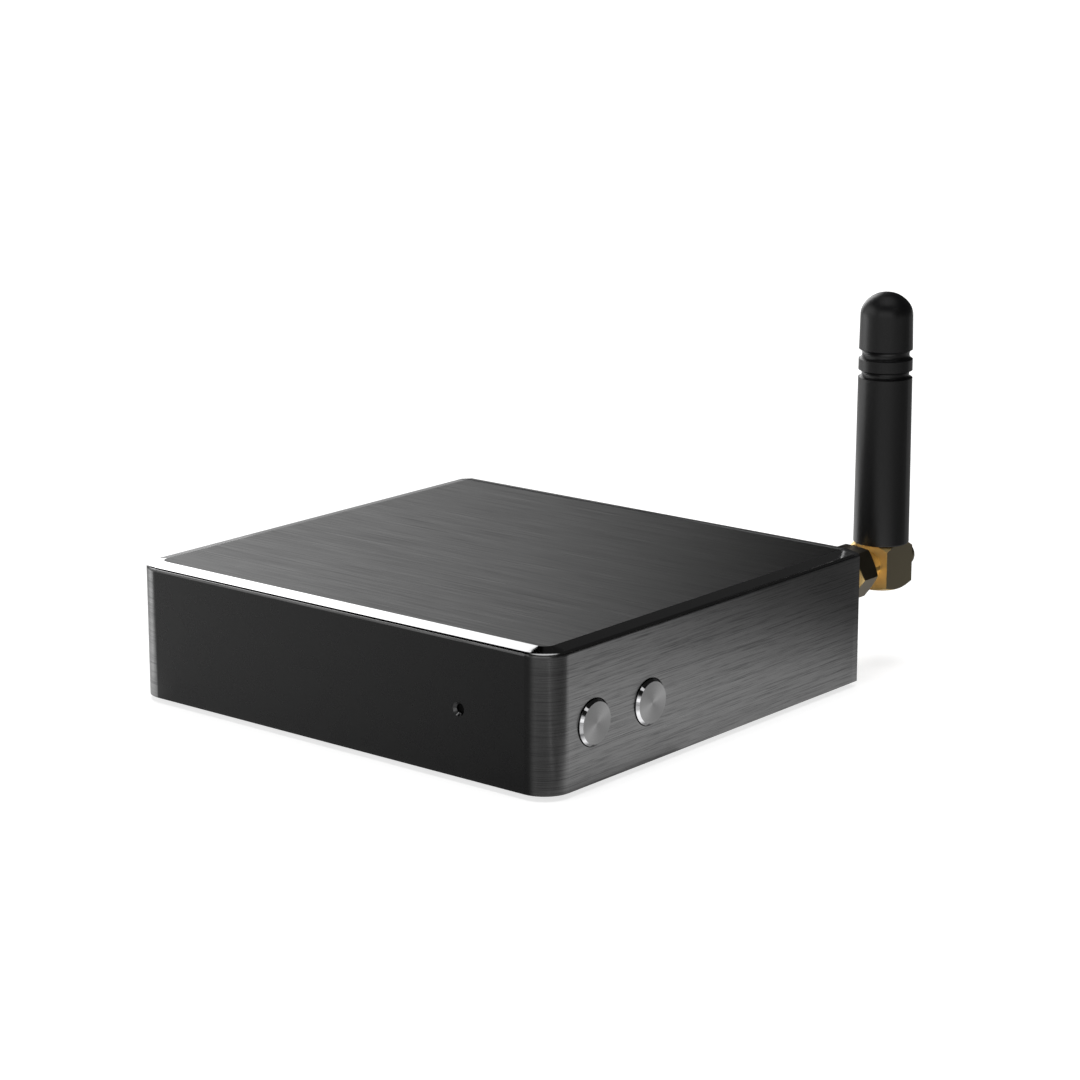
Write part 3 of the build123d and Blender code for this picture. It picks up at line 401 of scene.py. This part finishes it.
def studio_world():
    """White to the camera. To the object, light as a function of direction, with dark walls between.

    A soft box is its strength times a smooth step at each edge, on the direction's X, Y or Z.
    """
    world = bpy.data.worlds.new("studio")
    bpy.context.scene.world = world
    world.use_nodes = True
    world.node_tree.nodes.clear()
    f = Nodes(world.node_tree)
    x, y, z = f.parts(f.direction)

    def soft_box(strength, *edges):
        """Each edge is a value, where the box is dark and where it is fully lit."""
        return f.product(strength, *(f.step(*edge) for edge in edges))

    # The back left box grows brighter and reaches lower towards the left.
    lowest = f.step(x, -0.715, -0.735, 0.18, -0.12)
    above_lowest = f.step(f.math("SUBTRACT", z, lowest), -0.03, 0.03)
    back_left = f.product(soft_box(f.ramp(x, -0.60, -0.74, 1.10, 3.1), (x, -0.588, -0.593),
                                   (y, 0.25, 0.45), (z, 0.64, 0.58)), above_lowest)
    back_low = soft_box(f.ramp(x, -0.548, -0.60, 0.0, 0.95), (x, -0.593, -0.588), (y, 0.45, 0.6),
                        (z, 0.10, 0.16), (z, 0.40, 0.34))
    front_left = soft_box(0.9, (x, -0.25, -0.45), (y, -0.05, -0.25), (z, 0.02, 0.12), (z, 0.64, 0.59))
    front_strip = soft_box(0.75, (y, -0.42, -0.52), (x, -0.12, 0.0), (z, 0.0, 0.05), (z, 0.6, 0.45))
    side_strip = soft_box(0.5, (y, -0.62, -0.60), (y, -0.50, -0.52), (x, 0.7, 0.74), (z, 0.25, 0.22))
    corner_spot = soft_box(0.8, (y, -0.22, -0.19), (y, 0.0, -0.03), (z, 0.62, 0.65), (z, 0.77, 0.74),
                           (x, 0.3, 0.4))
    overhead = soft_box(0.55, (z, 0.86, 0.97))

    # Faint light comes from low all round, and least from the back and the right.
    shaded = f.math("MAXIMUM", f.step(y, 0.15, 0.35), f.step(x, 0.1, 0.3))
    around = f.product(f.step(z, 0.55, 0.4), f.step(shaded, 0.0, 1.0, 0.30, 0.018),
                       f.step(y, -0.45, -0.6, 1.0, 0.4))
    wall = f.step(x, -0.53, -0.51, 0.001, 0.010)
    light = back_left
    for box in (back_low, front_left, front_strip, side_strip, corner_spot, around, wall, overhead):
        light = f.math("ADD", light, box)
    path = f.add("ShaderNodeLightPath")
    seen = f.math("MAXIMUM", path.outputs["Is Camera Ray"], path.outputs["Is Transmission Ray"])
    background = f.add("ShaderNodeBackground", grey(WHITE), f.blend(seen, light, WHITE))
    f.add("ShaderNodeOutputWorld", background.outputs[0])


def studio_floor():
    """A pale disc on z = 0: rings of points at growing radius round the object's middle.

    To the camera it is white, and it keeps the object's soft shadow near the object. Diffuse light
    finds pale paint on it. Mirrored rays find a dark floor with a glow: its strength is a blend of
    zones, each a product of ramps on X, on Y or on lines that lean between them.
    """
    nearest, farthest, rings, spokes = 0.2, 12.0, 12, 96
    radii = np.concatenate(([0.0], np.geomspace(nearest, farthest, rings)))
    turn = np.linspace(0, 2 * math.pi, spokes + 1)[:-1]
    grid = np.stack([np.outer(radii, np.cos(turn)), np.outer(radii, np.sin(turn)),
                     np.zeros((radii.size, spokes))], -1)
    ring = np.arange(rings)[:, None] * spokes
    spoke = np.arange(spokes)[None, :]
    following = (spoke + 1) % spokes
    quads = np.stack([ring + spoke, ring + spokes + spoke, ring + spokes + following,
                      ring + following], -1).reshape(-1, 4)
    mesh = bpy.data.meshes.new("studio_floor")
    mesh.from_pydata(grid.reshape(-1, 3).tolist(), [], quads.tolist())
    mesh.validate()
    floor = bpy.data.objects.new("studio_floor", mesh)
    bpy.context.scene.collection.objects.link(floor)
    material = bpy.data.materials.new("studio floor")
    material.use_nodes = True
    material.node_tree.nodes.clear()
    f = Nodes(material.node_tree)
    x, y = f.parts(f.object)[:2]

    def lean(slope):
        """y plus the slope times x, which is level along slanting lines."""
        return f.math("MULTIPLY_ADD", x, slope, y)

    def zone(*edges):
        """Each edge is a value, where the zone is 0 and where it is 1."""
        return f.product(*(f.ramp(*edge) for edge in edges))

    def lit(paint, glow):
        """A diffuse grey paint with a glow added to it."""
        matt = f.add("ShaderNodeBsdfDiffuse", grey(paint))
        shine = f.add("ShaderNodeEmission", grey(WHITE), glow)
        return f.add("ShaderNodeAddShader", matt.outputs[0], shine.outputs[0]).outputs[0]

    def choose(factor, first, second):
        """The shader first where factor is 0 and second where it is 1."""
        return f.add("ShaderNodeMixShader", factor, first, second).outputs[0]

    # Ahead of the front: bright at the left, with a patch off the left corner, dark at the right,
    # two light strips that slant away from the right side, and an even tone far out.
    before = f.product(f.ramp(x, -0.13, 0.06, 1.05, 0.08), f.ramp(y, -0.180, -0.155, 0.35, 1.0))
    corner = zone((lean(-0.43), -0.046, -0.034), (x, -0.045, -0.050))
    before = f.blend(corner, before, 2.8)
    cross = lean(0.8)
    first_strip = zone((cross, -0.0133, -0.0123), (cross, -0.0078, -0.0088))
    second_strip = zone((cross, 0.0023, 0.0033), (cross, 0.0078, 0.0068))
    strips = f.blend(second_strip, first_strip, 1.0)
    front_part = f.blend(f.product(strips, f.ramp(x, 0.060, 0.063)), before, 0.6)
    front_part = f.blend(f.ramp(lean(-0.8), -0.19, -0.23), front_part, 0.42)

    # Behind and beside it: bright at the left and by the right side, a painted shadow close behind.
    beside = f.product(f.ramp(lean(0.75), 0.080, 0.134, 1.44, 0.04), f.ramp(x, 0.056, 0.072, 0.74, 1.0))
    left = f.product(f.ramp(y, 0.03, 0.09, 2.1, 1.2), f.ramp(x, -0.20, -0.10, 0.45, 1.0))
    # A painted shadow: the glow is dark close behind the object, where its shadow would fall.
    behind = zone((y, 0.032, 0.040), (x, -0.03, -0.01), (lean(-1.45), -0.036, -0.030))
    back_part = f.blend(behind, f.blend(f.ramp(x, 0.02, 0.05), left, beside), 0.25)

    # The back part starts at the front's foot and at a line that slants back from the right corner.
    # A dark strip of painted shadow follows the right wall's foot.
    past_front = zone((lean(-1.05), -0.122, -0.108), (y, -0.062, -0.050))
    wall_foot_shadow = zone((x, 0.0490, 0.0500), (x, 0.0540, 0.0520), (y, -0.057, -0.054), (y, -0.018, -0.021))
    sweep = f.blend(wall_foot_shadow, f.blend(past_front, front_part, back_part), 0.22)
    shown = f.ramp(f.vector("LENGTH", f.object), 0.15, 0.9, 0.72, 0.97)
    path = f.add("ShaderNodeLightPath")
    surface = choose(path.outputs["Is Glossy Ray"], lit(paint=0.80, glow=0.0), lit(paint=0.08, glow=sweep))
    surface = choose(path.outputs["Is Camera Ray"], surface, lit(paint=0.46, glow=shown))
    f.add("ShaderNodeOutputMaterial", surface)
    mesh.materials.append(material)


def studio_lamp():
    """A wide soft lamp overhead that isn't mirrored in the polished parts."""
    light = bpy.data.lights.new("studio lamp", "AREA")
    light.shape = "DISK"
    light.size = 1.2
    light.energy = 20.0
    lamp = bpy.data.objects.new("studio_lamp", light)
    lamp.location = (0.0, 0.0, 1.5)
    lamp.visible_glossy = False
    lamp.visible_camera = False
    bpy.context.scene.collection.objects.link(lamp)


studio_world()
studio_floor()
studio_lamp()
bpy.context.scene.view_settings.view_transform = "Standard"
